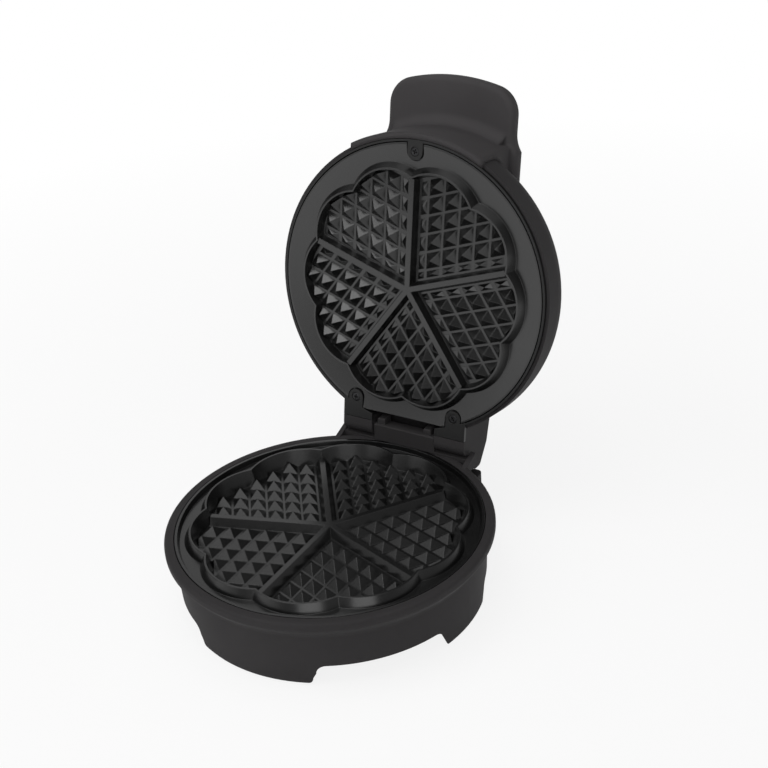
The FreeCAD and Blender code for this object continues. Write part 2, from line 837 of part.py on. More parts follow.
def grid_lines(reach, ridge_foot, first_row):
    """Distances from a ridge of the flat lines that run along it."""
    lines = [ridge_foot + d.line_width.value / 2]
    if first_row:
        lines.append(lines[0] + first_row)
    while lines[-1] < reach:
        lines.append(lines[-1] + d.row_pitch.value)
    return lines


def pyramid_field(valley, tip, floor, up, lines):
    """Pyramids of all hearts on a floor; up is 1 or -1, and the lobed edge trims the outer ones."""
    wedge = 360.0 / HEARTS
    slant = math.sin(math.radians(wedge))
    sunk = 0.4
    half_line = d.line_width.value / 2
    tall = d.row_pitch.value
    fence = Part.Face(flower(valley, tip, floor - up * 1.0)).extrude(Vector(0, 0, up * tall))
    made = []
    for heart in range(HEARTS):
        along = at(1 / slant, FIRST_VALLEY + heart * wedge, 0)
        across = at(1 / slant, FIRST_VALLEY + (heart + 1) * wedge, 0)
        for a0, a1 in zip(lines, lines[1:]):
            for b0, b1 in zip(lines, lines[1:]):
                half = min(a1 - a0, b1 - b0) / 2 - half_line
                grow = sunk / d.pyramid_slope.value
                edge = half_line - grow
                nearest = across * (a0 + edge) + along * (b0 + edge)
                if nearest.Length > tip:
                    continue
                spots = ((a0 + edge, b0 + edge), (a1 - edge, b0 + edge),
                         (a1 - edge, b1 - edge), (a0 + edge, b1 - edge))
                base = [across * a + along * b + Vector(0, 0, floor - up * sunk) for a, b in spots]
                middle = across * ((a0 + a1) / 2) + along * ((b0 + b1) / 2)
                apex = middle + Vector(0, 0, floor + up * half * d.pyramid_slope.value)
                solid = pyramid(base, apex)
                if max(math.hypot(p.x, p.y) for p in base) > valley - half_line:
                    solid = solid.common(fence)
                made.extend(s for s in solid.Solids if s.Volume > row_speck())
    return made


def row_speck():
    """Volume under which a trimmed pyramid is left out."""
    return (d.line_width.value * 1.6) ** 3


def heater_ring(extra, level):
    """Open ring of the heating tube; extra widens it for its groove."""
    ring = Part.makeTorus(d.heater_circle.value, d.heater_radius.value + extra,
                          Vector(0, 0, level), Vector(0, 0, 1), 0, 360, d.heater_angle.value)
    ring.rotate(Vector(), Vector(0, 0, 1), FRONT + (360 - d.heater_angle.value) / 2)
    return ring


def heater_ends(level, away):
    """Connection pins at both ends of the heating tube, pointing away from the plate."""
    tall = d.heater_radius.value + d.terminal_length.value
    return [Part.makeCylinder(d.terminal_radius.value, tall, Vector(x.value, y.value, level),
                              Vector(0, 0, away)) for x, y in HEATER_ENDS]


def solid_node(label, frame, shape, z=0):
    """Keep a shape made with modelling functions as a piece."""
    made = doc.addObject("Part::Feature", label)
    made.Shape = shape
    made.Label = label
    place(made, frame, z=z)
    nodes.append(made)


LOWER_HEATER = -(d.lower_floor.value + d.lower_bottom.value) - d.heater_radius.value + d.heater_sunk.value
UPPER_HEATER = d.upper_back.value + d.heater_radius.value - d.heater_sunk.value
GROOVE_FIT = 0.05


def lower_plate():
    """Cast plate with an overflow channel, a lobed bead, five hearts and their pyramids."""
    radius, lip = d.lower_radius.value, d.lower_lip_width.value
    channel, under = -d.lower_channel.value, -(d.lower_channel.value + d.lower_flange.value)
    floor, draft = -d.lower_floor.value, d.lower_draft.value
    bottom = floor - d.lower_bottom.value
    valley, tip = d.lower_valley.value, d.lower_tip.value
    belly = tip - d.bead_top.value
    foot, top = d.bead_foot.value, d.bead_top.value
    disc = turned_solid([
        (0, bottom), (belly - d.lower_bottom.value, bottom), (belly, under), (radius, under),
        (radius, -d.lower_lip_drop.value), (radius - lip, -d.lower_lip_drop.value),
        (radius - lip + (under - channel) / 2, channel), (0, channel)])
    bead = flower_block((valley + foot, tip + foot, channel - 1.0 / 2), (valley + top, tip + top, 0))
    cavity = flower_block((valley - draft, tip - draft, floor), (valley, tip, 0))
    stud = Part.makeCylinder(d.stud_radius.value, d.stud_height.value,
                             Vector(0, 0, bottom), Vector(0, 0, -1))
    plate = disc.fuse([bead, stud]).cut(cavity)
    crest = -d.lower_ridge_drop.value
    ridges = [tapered_bar(valley - draft / 2, d.lower_ridge_foot.value, d.ridge_half_top.value,
                          floor, crest, FIRST_VALLEY + k * 360.0 / HEARTS) for k in range(HEARTS)]
    lines = grid_lines(tip, d.lower_ridge_foot.value, 0)
    pyramids = pyramid_field(valley - draft, tip - draft, floor, 1, lines)
    plate = plate.fuse(ridges + pyramids)
    hole = d.screw_radius.value + d.screw_fit.value
    holes = [Part.makeCylinder(hole, d.lower_flange.value * 0.7, Vector(x.value, y.value, under))
             for x, y in PLATE_SCREWS]
    holes.append(Part.makeCylinder(hole, d.stud_height.value * 0.8,
                                   Vector(0, 0, bottom - d.stud_height.value)))
    holes.append(heater_ring(GROOVE_FIT, LOWER_HEATER))
    solid_node("lower_plate", "base", plate.cut(holes).removeSplitter(), z=d.plate_level)


def upper_plate():
    """Cast plate of the lid with a raised lobed wall that dips into the lower one."""
    radius, back = d.upper_radius.value, d.upper_back.value
    floor, rim = d.upper_floor.value, d.upper_rim_drop.value
    valley, tip, foot = d.upper_valley.value, d.upper_tip.value, d.upper_foot.value
    crest, draft = d.upper_crest.value, d.upper_draft.value
    disc = turned_solid([
        (0, back), (radius, back), (radius, rim), (radius - crest, rim),
        (valley + foot, floor - crest / 4), (0, floor)])
    wall = flower_block((valley, tip, 0), (valley + foot, tip + foot, floor))
    cavity = flower_block((valley - crest, tip - crest, 0),
                          (valley - crest - draft, tip - crest - draft, floor))
    stud = Part.makeCylinder(d.stud_radius.value, d.stud_height.value, Vector(0, 0, back))
    plate = disc.fuse([wall, stud]).cut(cavity)
    ridges = [tapered_bar(valley - crest, d.upper_ridge_foot.value, d.ridge_half_top.value,
                          floor, d.upper_ridge_drop.value, FIRST_VALLEY + k * 360.0 / HEARTS)
              for k in range(HEARTS)]
    lines = grid_lines(tip, d.upper_ridge_foot.value, d.half_row.value)
    pyramids = pyramid_field(valley - crest - draft, tip - crest - draft, floor, -1, lines)
    plate = plate.fuse(ridges + pyramids)
    cuts = lug_notches() + [heater_ring(GROOVE_FIT, UPPER_HEATER)]
    hole = d.screw_radius.value + d.screw_fit.value
    cuts.append(Part.makeCylinder(hole, d.stud_height.value * 0.8,
                                  Vector(0, 0, back + d.stud_height.value), Vector(0, 0, -1)))
    flat = d.recess_y.value - d.apron_gap.value
    cuts.append(Part.makeBox(2 * radius, radius, 2 * back, Vector(-radius, flat, 0)))
    solid_node("upper_plate", "lid", plate.cut(cuts).removeSplitter())


def lug_notches():
    """Notches in the plate's edge for the ring's lugs, with a hole through each."""
    gap = d.ring_gap.value
    depth = d.upper_rim_drop.value + d.apron_thickness.value + gap / 2
    hole = d.screw_radius.value + d.screw_fit.value
    cuts = []
    for (x, y), outward in LUGS:
        spot = Vector(x.value, y.value, 0)
        half = d.lug_half.value + gap
        cuts.append(Part.makeCylinder(half, depth, spot))
        slot = Part.makeBox(half * 2, d.upper_radius.value, depth, spot - Vector(half, 0, 0))
        if outward == FRONT:
            slot.rotate(spot, Vector(0, 0, 1), 180)
        cuts.append(slot)
        cuts.append(Part.makeCylinder(hole, d.upper_back.value, spot))
    return cuts


def heaters():
    """Tubular heating elements let into the backs of both plates."""
    for label, frame, level, away in (("lower_heater", "base", LOWER_HEATER, -1),
                                      ("upper_heater", "lid", UPPER_HEATER, 1)):
        tube = heater_ring(0, level).fuse(heater_ends(level, away)).removeSplitter()
        solid_node(label, frame, tube, z=d.plate_level if frame == "base" else 0)


# Sheet reflectors, screws and controls


def reflectors():
    """Dished sheets that keep the heat at the plates, held on the plates' studs."""
    sheet, edge = d.reflector_sheet, d.reflector_edge
    hole = d.screw_radius + d.screw_fit
    low = PLATE_UNDER - d.stud_height
    lower = turned("lower_reflector", "base", [
        (hole, low - sheet), (d.reflector_radius - edge, low - sheet),
        (d.reflector_radius, low + edge), (d.reflector_radius - sheet, low + edge),
        (d.reflector_radius - edge - sheet / 2, low), (hole, low)])
    high = d.upper_back + d.stud_height
    upper = turned("upper_reflector", "lid", [
        (hole, high), (d.reflector_radius - edge - sheet / 2, high),
        (d.reflector_radius - sheet, high - edge), (d.reflector_radius, high - edge),
        (d.reflector_radius - edge, high + sheet), (hole, high + sheet)])
    for body, level in ((lower, low - sheet), (upper, high)):
        made = new_sketch(body, body.Label + "_hole_plan", "XY_Plane", level=level)
        rounds(made, [(x, y, d.terminal_radius * 2) for x, y in HEATER_ENDS])
        extrude(body, body.Label + "_holes", made, sheet, cut=True, flip=True)
    reach = d.stud_height / 2
    screws("lower_reflector_screw", "base", [(size(0), size(0))], low - sheet, reach)
    screws("upper_reflector_screw", "lid", [(size(0), size(0))], high + sheet, reach, down=True)


def controls():
    """Thermostat, thermal fuses and the terminal block."""
    top = PLATE_UNDER
    turned_at("thermostat", "base", d.thermostat_x, d.thermostat_radius,
              top - d.thermostat_height, d.thermostat_height)
    fuse_rod("lower_thermal_fuse", "base", top - d.fuse_radius)
    fuse_rod("upper_thermal_fuse", "lid", d.upper_back + d.fuse_radius)
    block = doc.addObject("Part::Box", "terminal_block")
    bind(block, "Length", d.block_length)
    bind(block, "Width", d.block_width)
    bind(block, "Height", d.block_height)
    block.Label = "terminal_block"
    place(block, "base", x=-d.block_length / 2, y=d.block_y, z=COVER_TOP)
    nodes.append(block)


def turned_at(label, frame, x, radius, low, height):
    """Upright round piece beside the middle."""
    made = doc.addObject("Part::Cylinder", label)
    bind(made, "Radius", radius)
    bind(made, "Height", height)
    made.Label = label
    place(made, frame, x=x, z=low)
    nodes.append(made)


def fuse_rod(label, frame, level):
    """Thermal fuse that lies against the back of a plate."""
    body = new_body(label, frame)
    made = new_sketch(body, label + "_end", "XZ_Plane")
    rounds(made, [(d.fuse_x, level, d.fuse_radius)])
    extrude(body, label + "_rod", made, d.fuse_length, both=True)


# Lid


def dome(wall, low):
    """Half section of the dome, moved inwards by a wall."""
    radius = d.shoulder_radius - wall
    side = d.shell_radius - wall
    across = d.shell_radius - d.shoulder_radius
    rise = d.crown - d.shoulder_z
    big = (across * across + rise * rise - d.shoulder_radius * d.shoulder_radius) \
        / ((rise - d.shoulder_radius) * 2)
    reach = big - d.shoulder_radius
    lean_x = across / reach
    lean_z = (big - rise) / reach
    return [
        (0, low),
        (side, low),
        (side, d.shoulder_z, radius),
        (across + radius * lean_x, d.shoulder_z + radius * lean_z, big - wall),
        (0, d.crown - wall),
    ]


def lid_shell():
    """Domed lid with the hinge hump and its two ears."""
    body = new_body("lid_shell", "lid")
    made = new_sketch(body, "dome_outside", "XZ_Plane")
    outline(made, dome(size(0), d.shell_edge))
    spin(body, "dome", made)
    made = new_sketch(body, "hump_side", "YZ_Plane")
    ear_front = HINGE_LID - d.ear_radius
    outline(made, [
        (d.hump_root, d.shell_edge),
        (d.apron_back + d.apron_gap, d.shell_edge),
        (d.apron_back + d.apron_gap, ear_front),
        (d.hinge_y, ear_front, d.ear_radius),
        (d.hinge_y + d.ear_radius, HINGE_LID),
        (d.hinge_y + d.ear_radius, d.hump_throat_z),
        (d.hump_low_y, d.hump_low_z),
        (d.hump_back_y, d.hump_back_z),
        (d.hump_mid_y, d.hump_mid_z),
        (d.hump_root, d.hump_top_z),
    ])
    extrude(body, "hump", made, d.hump_half * 2, both=True)
    bends = [(d.hump_low_y, d.hump_low_z), (d.hump_back_y, d.hump_back_z), (d.hump_mid_y, d.hump_mid_z)]
    fillet(body, "hump_rounding", d.hump_round, lambda e: any(runs_across(e, y, z) for y, z in bends))
    made = new_sketch(body, "dome_inside", "XZ_Plane")
    outline(made, dome(d.shell_wall, d.shell_edge - d.shell_wall))
    spin(body, "dome_hollow", made, cut=True)
    made = new_sketch(body, "hinge_slot_side", "YZ_Plane")
    rounds(made, [(d.hinge_y, HINGE_LID, d.slot_radius)])
    extrude(body, "hinge_slot", made, d.ear_inner * 2, cut=True, both=True)
    made = new_sketch(body, "ear_bore_side", "YZ_Plane")
    rounds(made, [(d.hinge_y, HINGE_LID, d.pin_radius + d.pin_fit)])
    extrude(body, "ear_bores", made, (d.pin_half + d.pin_fit * 10) * 2, cut=True, both=True)
    lid_posts(body)


def lid_posts(body):
    """Posts inside the shell for plate, handle and lamp holder, and the openings in its top."""
    hole = d.screw_radius + d.screw_fit
    made = new_sketch(body, "plate_post_plan", "XY_Plane", level=d.upper_back)
    rounds(made, [(x, y, d.boss_radius) for (x, y), outward in LUGS])
    extrude(body, "plate_posts", made, d.shoulder_z + d.shoulder_radius / 2 - d.upper_back)
    made = new_sketch(body, "plate_post_hole_plan", "XY_Plane", level=d.upper_back)
    rounds(made, [(x, y, hole) for (x, y), outward in LUGS])
    extrude(body, "plate_post_holes", made, d.screw_radius * 6, cut=True, flip=True)
    low = HANDLE_BOSS
    made = new_sketch(body, "handle_post_plan", "XY_Plane", level=low)
    rounds(made, [(x, y, d.boss_radius) for x, y in HANDLE_SCREWS])
    extrude(body, "handle_posts", made, d.handle_boss_drop - d.shell_wall)
    made = new_sketch(body, "handle_post_hole_plan", "XY_Plane", level=low)
    rounds(made, [(x, y, hole) for x, y in HANDLE_SCREWS])
    extrude(body, "handle_post_holes", made, d.handle_boss_drop * 3, cut=True, flip=True)
    top = d.holder_level + d.holder_height
    made = new_sketch(body, "holder_post_plan", "XY_Plane", level=top)
    rounds(made, [(d.holder_post_x, -d.lamp_y, d.holder_post_radius),
                  (-d.holder_post_x, -d.lamp_y, d.holder_post_radius)])
    extrude(body, "holder_posts", made, DOME_AT_LAMP - d.shell_wall / 2 - top)
    made = new_sketch(body, "lamp_hole_plan", "XY_Plane", level=top)
    rounds(made, [(x, -d.lamp_y, d.lamp_radius + d.lamp_fit) for x in (-d.lamp_x, d.lamp_x)])
    extrude(body, "lamp_holes", made, d.crown - top, cut=True, flip=True)


def dome_height(x, y):
    """Level of the dome's outside over a plan position near its top."""
    section = dome(size(0), d.shell_edge)
    big = section[3][2]
    square = x * x + y * y
    return d.crown - square / (big * 2)


HANDLE_SCREWS = [(d.handle_screw_x, -d.handle_screw_y), (-d.handle_screw_x, -d.handle_screw_y)]
LAMP_LOW = d.holder_level + d.holder_height
HANDLE_BOSS = dome_height(d.handle_screw_x, d.handle_screw_y) - d.handle_boss_drop
DOME_AT_LAMP = dome_height(d.holder_post_x, d.lamp_y)


def lid_ring():
    """Ring round the upper plate with three lugs and an apron towards the hinge."""
    front = d.upper_rim_drop
    body = turned("lid_ring", "lid",
                  rectangle(RING_INNER, front, RING_OUTER, front + d.ring_depth))
    made = new_sketch(body, "apron_plan", "XY_Plane", level=front)
    outline(made, rectangle(-d.hump_half, d.hump_root, d.hump_half, d.apron_back))
    extrude(body, "apron", made, d.apron_thickness)
    made = new_sketch(body, "apron_opening_plan", "XY_Plane", level=front)
    rounds(made, [(0, 0, d.upper_radius + d.apron_gap)])
    extrude(body, "apron_opening", made, d.apron_thickness, cut=True, flip=True)
    made = new_sketch(body, "lug_plan", "XY_Plane", level=front)
    for (x, y), outward in LUGS:
        reach = size(0) - RING_INNER - d.ring_width / 2 if outward == FRONT else d.apron_back
        lug_outline(made, x, y, reach, 1 if outward == BACK else -1)
    extrude(body, "lugs", made, d.apron_thickness)
    made = new_sketch(body, "ring_trim_plan", "XY_Plane", level=front)
    outline(made, rectangle(-d.ear_inner, d.recess_y, d.ear_inner, d.shell_radius))
    extrude(body, "ring_trim", made, d.ring_depth, cut=True, flip=True)
    made = new_sketch(body, "lug_hole_plan", "XY_Plane", level=front)
    rounds(made, [(x, y, d.screw_radius + d.screw_fit) for (x, y), outward in LUGS])
    extrude(body, "lug_holes", made, d.apron_thickness, cut=True, flip=True)
    made = new_sketch(body, "lug_sink_plan", "XY_Plane", level=front)
    rounds(made, [(x, y, d.screw_head + d.screw_fit) for (x, y), outward in LUGS])
    extrude(body, "lug_sinks", made, d.lug_sink, cut=True, flip=True)


def lug_outline(made, x, y, reach, way):
    """Tongue with a round end; way is 1 towards the back and -1 towards the front."""
    half = d.lug_half
    outline(made, [
        (x - half * way, y, half),
        (x, y - half * way, half),
        (x + half * way, y),
        (x + half * way, reach),
        (x - half * way, reach),
    ])


def handle():
    """Broad handle whose collar wraps the front of the lid."""
    body = new_body("handle", "lid")
    outer = d.shell_radius + d.collar_gap + d.collar_thickness
    made = new_sketch(body, "handle_plan", "XY_Plane", level=d.handle_low)
    broad = d.handle_half + d.handle_flare
    outline(made, bow(d.handle_half, d.handle_reach, d.handle_corner, d.handle_inner,
                      d.handle_inner_corner, d.handle_flare, -root_of(outer * outer - broad * broad),
                      d.handle_flare_length))
    extrude(body, "handle_grip", made, d.handle_top - d.handle_low)
    fillet(body, "handle_rounding", d.handle_round,
           lambda e: is_level(e, d.handle_top) or is_level(e, d.handle_low))
    made = new_sketch(body, "handle_root_plan", "XY_Plane", level=d.upper_rim_drop)
    outline(made, bow(d.collar_half, outer, d.collar_thickness / 2, d.handle_inner,
                      d.handle_inner_corner))
    upper = new_sketch(body, "handle_root_top_plan", "XY_Plane", level=d.handle_low + d.handle_round / 2)
    outline(upper, bow(d.handle_half - d.collar_taper, outer, d.collar_thickness / 2, d.handle_inner,
                       d.handle_inner_corner))
    step, before = feature(body, "AdditiveLoft", "handle_root", made)
    step.Sections = [(upper, [""])]
    step.Ruled = True
    finish(body, step, before)
    made = new_sketch(body, "handle_crease_side", "YZ_Plane")
    inside, sunk = d.collar_thickness - outer, d.handle_crease_sink
    low = d.handle_low - d.handle_crease
    outline(made, [
        (sunk - outer, low, d.handle_crease + sunk),
        (-outer - d.handle_crease, d.handle_low + sunk),
        (inside, d.handle_low + sunk),
        (inside, low),
    ])
    spin(body, "handle_crease_fill", made, span=d.handle_crease_span)
    made = new_sketch(body, "handle_inside", "XZ_Plane")
    gap = -d.collar_gap
    inside = dome(gap, size(0))
    lip = RING_OUTER + d.collar_lip_gap
    step = d.shell_edge - d.collar_gap
    outline(made, [(0, 0), (lip, 0), (lip, step), (inside[1][0], step)] + inside[2:])
    spin(body, "handle_hollow", made, cut=True)
    made = new_sketch(body, "handle_lamp_plan", "XY_Plane", level=LAMP_LOW)
    rounds(made, [(x, -d.lamp_y, d.lamp_radius + d.lamp_fit) for x in (-d.lamp_x, d.lamp_x)])
    extrude(body, "handle_lamp_holes", made, d.handle_top - LAMP_LOW, cut=True, flip=True)
    made = new_sketch(body, "handle_hole_plan", "XY_Plane", level=HANDLE_BOSS)
    rounds(made, [(x, y, d.screw_radius + d.screw_fit) for x, y in HANDLE_SCREWS])
    extrude(body, "handle_holes", made, d.handle_boss_drop + d.handle_screw_depth, cut=True, flip=True)


def bow(half, reach, corner, inner, inner_corner, flare=0, flare_front=0, flare_length=1):
    """Plan outline with a bowed front edge, rounded corners and sides that may flare at the root."""
    half, reach, corner, flare = size(half), size(reach), size(corner), size(flare)
    inset = half - corner
    radius = reach - corner
    centre_y = -root_of(radius * radius - inset * inset)
    scale = reach / radius
    end_x, end_y = inset * scale, centre_y * scale
    back = -inner
    front = [(-half, centre_y, corner), (-end_x, end_y, reach), (end_x, end_y, corner), (half, centre_y)]
    broad = half + flare
    rear = [
        (broad, back - inner_corner, inner_corner),
        (broad - inner_corner, back),
        (inner_corner - broad, back, inner_corner),
        (-broad, back - inner_corner),
    ]
    if flare.value == 0:
        return front + rear
    bend = -(flare * flare + flare_length * flare_length) / (flare * 2)
    right = [(half, flare_front - flare_length, bend), (broad, flare_front)]
    left = [(-broad, flare_front, bend), (-half, flare_front - flare_length)]
    return front + right + rear + left


def root_of(item):
    return Size("sqrt(%s)" % item.text, math.sqrt(item.value))


def lamps():
    """Two indicator lenses in the handle and the holder that carries them."""
    tall = d.handle_top + d.lamp_proud - LAMP_LOW
    for label, x in (("power_lamp", -d.lamp_x), ("ready_lamp", d.lamp_x)):
        body = new_body(label, "lid")
        made = new_sketch(body, label + "_plan", "XY_Plane", level=LAMP_LOW)
        rounds(made, [(x, -d.lamp_y, d.lamp_radius)])
        extrude(body, label + "_rod", made, tall)
        top = (d.handle_top + d.lamp_proud).value
        fillet(body, label + "_rounding", d.lamp_proud,
               lambda e: abs(e.CenterOfMass.z - top) < 0.01)
    body = new_body("lamp_holder", "lid")
    made = new_sketch(body, "holder_plan", "XY_Plane", level=d.holder_level)
    outline(made, rectangle(-d.holder_length / 2, -d.lamp_y - d.holder_width / 2,
                            d.holder_length / 2, -d.lamp_y + d.holder_width / 2))
    extrude(body, "holder_board", made, d.holder_height)


def build():
    base_housing()
    bottom_cover()
    foot_pads()
    hinge_pin()
    cord_gland()
    lower_plate()
    upper_plate()
    heaters()
    reflectors()
    controls()
    lid_shell()
    lid_ring()
    handle()
    lamps()
    screws("bottom_cover_screws", "base", COVER_POSTS, d.cover_level, d.screw_radius * 6)
    screws("lower_plate_screws", "base", PLATE_SCREWS, LEDGE_LOW,
           d.ledge_thickness + d.lower_flange / 2)
    lug_spots = [spot for spot, outward in LUGS]
    screws("upper_plate_screws", "lid", lug_spots, d.upper_rim_drop + d.lug_sink,
           d.upper_back - d.upper_rim_drop + d.screw_radius * 4, head_height=d.lug_sink)
    screws("handle_screws", "lid", HANDLE_SCREWS, HANDLE_BOSS,
           d.handle_boss_drop + d.handle_screw_depth / 2)


def check_and_write():
    doc.recompute()
    for thing in doc.Objects:
        if "Invalid" in thing.State or "Error" in thing.State:
            raise RuntimeError("%s failed: %s" % (thing.Label, thing.State))
    for node in nodes:
        if node.Shape.isNull() or not node.Shape.isValid():
            raise RuntimeError(node.Label + " has no valid shape")
    os.makedirs("parts", exist_ok=True)
    for node in nodes:
        node.Shape.exportStep("parts/%s.step" % node.Label)
        solids = node.Shape.Solids
        print("%-24s %2d solids %10.1f mm3" % (node.Label, len(solids), sum(s.Volume for s in solids)))


build()
check_and_write()
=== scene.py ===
import math

import bmesh
import bpy
from mathutils import Matrix, Vector


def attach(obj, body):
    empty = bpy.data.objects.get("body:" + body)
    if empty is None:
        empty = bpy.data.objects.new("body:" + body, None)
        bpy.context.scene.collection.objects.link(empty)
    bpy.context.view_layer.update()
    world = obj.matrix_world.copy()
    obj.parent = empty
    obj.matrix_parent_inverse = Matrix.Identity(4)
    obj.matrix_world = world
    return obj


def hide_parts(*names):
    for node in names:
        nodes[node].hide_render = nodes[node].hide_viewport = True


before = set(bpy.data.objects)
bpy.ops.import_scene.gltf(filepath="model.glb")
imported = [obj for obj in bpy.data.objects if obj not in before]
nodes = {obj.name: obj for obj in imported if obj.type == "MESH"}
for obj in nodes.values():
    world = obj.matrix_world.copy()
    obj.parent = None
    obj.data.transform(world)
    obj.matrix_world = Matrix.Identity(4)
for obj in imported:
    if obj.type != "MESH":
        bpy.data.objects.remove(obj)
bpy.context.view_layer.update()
scene = bpy.context.scene

# The open lid, as in the solids: the hinge line where it stands and, seen from the middle of the
# upper plate, in the shut lid's own axes; the angle by which the lid is open; the dome's height
HINGE = Vector((0, 0.05864, 0.06318))
HINGE_IN_LID = Vector((0, 0.10515, 0.01068))
LID_TURN = Matrix.Rotation(-math.radians(101.7), 3, "X")
LID_UP = LID_TURN @ Vector((0, 0, 1))
DOME_TOP = 57.7


def lid_point(x, y, z):
    """Place of a point given in millimetres from the middle of the upper plate."""
    return HINGE + LID_TURN @ (Vector((x, y, z)) / 1000 - HINGE_IN_LID)


# Materials


class Nodes:
    """Small helper that adds and links shader nodes."""

    def __init__(self, name):
        self.material = bpy.data.materials.new(name)
        self.material.use_nodes = True
        self.tree = self.material.node_tree
        self.shader = self.tree.nodes["Principled BSDF"]

    def add(self, kind, inputs=None, **settings):
        node = self.tree.nodes.new("ShaderNode" + kind)
        for key, value in settings.items():
            setattr(node, key, value)
        for key, value in (inputs or {}).items():
            node.inputs[key].default_value = value
        return node

    def link(self, out, into):
        self.tree.links.new(out, into)

    def feed(self, out, name):
        """Links an output to the shader's own socket."""
        self.link(out, self.shader.inputs[name])

    def fix(self, name, value):
        """Sets the shader's own socket to the same value all over."""
        self.shader.inputs[name].default_value = value

    def place(self):
        """Position on the piece itself, in metres."""
        return self.add("TexCoord").outputs["Object"]

    def noise(self, scale, detail=3.0, rough=0.55):
        made = self.add("TexNoise", {"Scale": scale, "Detail": detail, "Roughness": rough})
        self.link(self.place(), made.inputs["Vector"])
        return made.outputs["Fac"]

    def ramp(self, fac, low, high, dark, light):
        made = self.add("ValToRGB")
        stops = made.color_ramp.elements
        stops[0].position = low
        stops[1].position = high
        stops[0].color = (*dark, 1)
        stops[1].color = (*light, 1)
        self.link(fac, made.inputs["Fac"])
        return made.outputs["Color"]

    def spread(self, fac, low, high):
        made = self.add("MapRange", {"To Min": low, "To Max": high})
        self.link(fac, made.inputs["Value"])
        return made.outputs["Result"]

    def bump(self, fac, distance, strength=1.0, normal=None):
        made = self.add("Bump", {"Distance": distance, "Strength": strength})
        self.link(fac, made.inputs["Height"])
        if normal is not None:
            self.link(normal, made.inputs["Normal"])
        return made.outputs["Normal"]

    def rounded(self, radius):
        return self.add("Bevel", {"Radius": radius}, samples=6).outputs["Normal"]


def grained_plastic(name, dark, light, rough, specular, grain=0.00006, edge=0.0005):
    """Moulded plastic with a fine spark-eroded grain, faint cloudiness and softened edges."""
    m = Nodes(name)
    cloud = m.noise(22.0, 4.0)
    m.feed(m.ramp(cloud, 0.3, 0.7, dark, light), "Base Color")
    fine = m.noise(1900.0, 2.0, 0.6)
    m.feed(m.spread(fine, rough - 0.06, rough + 0.06), "Roughness")
    m.feed(m.bump(fine, grain, 1.0, m.rounded(edge)), "Normal")
    m.fix("Specular IOR Level", specular)
    return m.material


def coated_metal(name, dark, light, rough, specular, edge=0.0005):
    """Non-stick coating: satin black with a faint orange peel and softened edges."""
    m = Nodes(name)
    cloud = m.noise(35.0, 5.0)
    m.feed(m.ramp(cloud, 0.3, 0.75, dark, light), "Base Color")
    peel = m.noise(900.0, 2.0, 0.5)
    m.feed(m.spread(cloud, rough - 0.04, rough + 0.05), "Roughness")
    m.feed(m.bump(peel, 0.00002, 0.8, m.rounded(edge)), "Normal")
    m.fix("Specular IOR Level", specular)
    return m.material


def plain_metal(name, dark, light, rough, stretch):
    """Bare metal with drawn or rolled streaks."""
    m = Nodes(name)
    place = m.add("Mapping", {"Scale": stretch})
    m.link(m.place(), place.inputs["Vector"])
    texture = m.add("TexNoise", {"Scale": 260.0, "Detail": 3.0})
    m.link(place.outputs["Vector"], texture.inputs["Vector"])
    streak = texture.outputs["Fac"]
    m.feed(m.ramp(streak, 0.3, 0.7, dark, light), "Base Color")
    m.feed(m.spread(streak, rough - 0.07, rough + 0.1), "Roughness")
    m.feed(m.bump(streak, 0.00003, 0.5), "Normal")
    m.fix("Metallic", 1.0)
    return m.material


def lens_plastic(name, dark, light):
    """Tinted glossy lens with a soft inner cloud."""
    m = Nodes(name)
    cloud = m.noise(300.0, 2.0)
    m.feed(m.ramp(cloud, 0.3, 0.7, dark, light), "Base Color")
    m.feed(m.spread(cloud, 0.08, 0.16), "Roughness")
    m.fix("Coat Weight", 0.6)
    return m.material


def grey(level):
    return (level, level, level)


# Material of each look: its name, dark and light colour, roughness, then gloss or streaks
LOOKS = {
    "body": grained_plastic(
        "charcoal_plastic", (0.029, 0.0273, 0.0282), (0.0342, 0.0322, 0.0332), 0.68, 0.15),
    "handle": grained_plastic(
        "handle_plastic", (0.048, 0.0453, 0.0466), (0.0555, 0.0523, 0.0539), 0.68, 0.15,
        edge=0.005),
    "ring": grained_plastic("ring_plastic", grey(0.008), grey(0.012), 0.42, 0.35, grain=0.00003),
    "cover": grained_plastic("cover_plastic", grey(0.014), grey(0.018), 0.6, 0.35),
    "plate": coated_metal("nonstick_coating", grey(0.004), grey(0.007), 0.24, 0.6),
    "rubber": grained_plastic("black_rubber", grey(0.010), grey(0.014), 0.75, 0.3),
    "pale": grained_plastic("pale_plastic", (0.50, 0.48, 0.43), (0.58, 0.56, 0.50), 0.5, 0.4),
    "steel": plain_metal(
        "plated_steel", (0.42, 0.42, 0.41), (0.58, 0.58, 0.57), 0.32, (1, 1, 8)),
    "dark_steel": plain_metal(
        "blackened_steel", (0.035, 0.035, 0.036), (0.06, 0.06, 0.062), 0.38, (1, 1, 1)),
    "tube": plain_metal(
        "heater_sheath", (0.20, 0.19, 0.18), (0.32, 0.30, 0.28), 0.45, (1, 1, 1)),
    "sheet": plain_metal("sheet_aluminium", grey(0.62), grey(0.75), 0.25, (9, 1, 1)),
    "red": lens_plastic("red_lens", (0.30, 0.010, 0.010), (0.45, 0.03, 0.02)),
    "green": lens_plastic("green_lens", (0.010, 0.20, 0.03), (0.02, 0.32, 0.06)),
}

